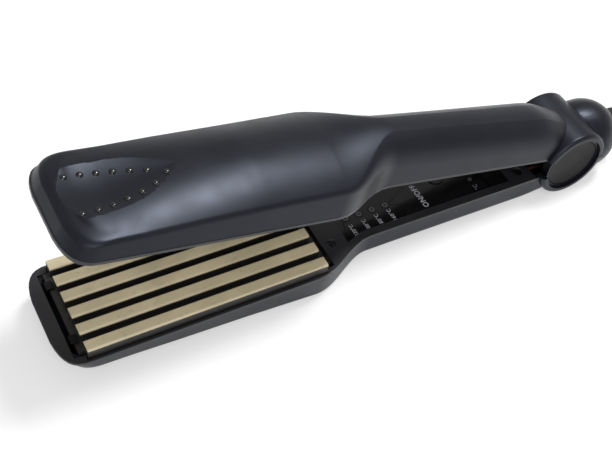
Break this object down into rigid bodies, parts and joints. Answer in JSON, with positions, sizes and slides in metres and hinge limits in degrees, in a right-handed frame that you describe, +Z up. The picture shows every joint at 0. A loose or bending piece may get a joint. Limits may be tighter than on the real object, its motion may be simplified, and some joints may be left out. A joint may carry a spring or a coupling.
{
  "type": "hair crimper",
  "caption": "Wide-plate crimping iron: two long arms on one sprung hinge, ribbed heating plates that mesh, push buttons in the handle and a turning cord gland.",
  "frame": {"origin": "middle of the footprint's bounding box, on the surface the lower arm lies on", "axes": "+X from the nose to the tail, +Y across the arms to the far side, +Z up"},
  "size_m": [0.2748, 0.048, 0.0755],
  "materials": {
    "casing": "satin, fine grain",
    "inner_black": "semi-gloss black",
    "panel": "gloss black",
    "plate": "champagne ceramic coating on aluminium",
    "holder": "glass-filled heat-resistant plastic",
    "sheet_steel": "stamped sheet steel",
    "mica": "mica sheet",
    "heater_body": "bare aluminium case",
    "screw_steel": "zinc plated",
    "sensor_bead": "glazed bead",
    "board": "solder mask",
    "chip_black": "moulded package",
    "capacitor_film": "boxed film capacitor",
    "capacitor_sleeve": "sleeve",
    "led_body": "clear red resin",
    "lens": "frosted clear plastic",
    "wire": "silicone sleeve",
    "wire_supply": "silicone sleeve",
    "terminal_white": "moulded plastic",
    "contact_brass": "sheet brass",
    "pin_steel": "turned steel",
    "spring_steel": "music wire",
    "stud_black": "gloss black",
    "bush_bronze": "sintered bronze",
    "button": "gloss black",
    "gland": "matt black"
  },
  "bodies": {
    "lower_arm": {"lower_shell": "casing", "lower_inner_cover": "inner_black", "label_panel": "panel", "lower_plate_holder": "holder", "lower_crimp_plate": "plate", "lower_plate_clips": "sheet_steel", "lower_mica_sheet": "mica", "lower_heater": "heater_body", "lower_heater_clamp": "sheet_steel", "lower_clamp_screws": "screw_steel", "temp_sensor": "sensor_bead", "lower_holder_screws": "screw_steel", "lower_cover_screws": "screw_steel", "control_board": "board", "controller_chip": "chip_black", "triac": "chip_black", "dropper_capacitor": "capacitor_film", "smoothing_capacitor": "capacitor_sleeve", "board_fuse": "screw_steel", "board_screws": "screw_steel", "tact_switches": "sheet_steel", "indicator_leds": "led_body", "led_lenses": "lens", "lower_heater_leads": "wire", "supply_leads": "wire_supply", "terminal_block": "terminal_white", "contact_blades": "contact_brass", "hinge_pin": "pin_steel", "hinge_nut": "pin_steel", "hinge_caps": "casing", "opening_spring": "spring_steel"},
    "upper_arm": {"tail_cap": "casing", "upper_shell": "casing", "grip_studs": "stud_black", "upper_inner_cover": "inner_black", "upper_plate_holder": "holder", "upper_crimp_plate": "plate", "upper_plate_clips": "sheet_steel", "upper_mica_sheet": "mica", "upper_heater": "heater_body", "upper_heater_clamp": "sheet_steel", "upper_clamp_screws": "screw_steel", "thermal_fuse": "screw_steel", "upper_holder_screws": "screw_steel", "upper_cover_screws": "screw_steel", "upper_knuckle": "holder", "knuckle_screws": "screw_steel", "hinge_bushes": "bush_bronze", "upper_heater_leads": "wire"},
    "power_button": {"power_button": "button"},
    "temp_button": {"temp_button": "button"},
    "cord_swivel": {"cord_swivel": "gland", "slip_rings": "contact_brass"}
  },
  "joints": [
    {"name": "jaw", "type": "hinge", "parent": "lower_arm", "child": "upper_arm", "pos_m": [0.09965, 0, 0.0166], "axis": [0, 1, 0], "range_deg": [-11.7, 0], "stiffness_Nm_per_rad": 1.4, "springref_deg": 28.65, "deforming": ["opening_spring"]},
    {"name": "power_press", "type": "slide", "parent": "lower_arm", "child": "power_button", "axis": [0, 0, -1], "range_m": [0, 0.0005], "stiffness_N_per_m": 2500, "springref_m": -0.0004},
    {"name": "temp_press", "type": "slide", "parent": "lower_arm", "child": "temp_button", "axis": [0, 0, -1], "range_m": [0, 0.0005], "stiffness_N_per_m": 2500, "springref_m": -0.0004},
    {"name": "cord_turn", "type": "hinge", "parent": "lower_arm", "child": "cord_swivel", "pos_m": [0.12965, 0, 0.0166], "axis": [1, 0, 0], "continuous": true}
  ]
}
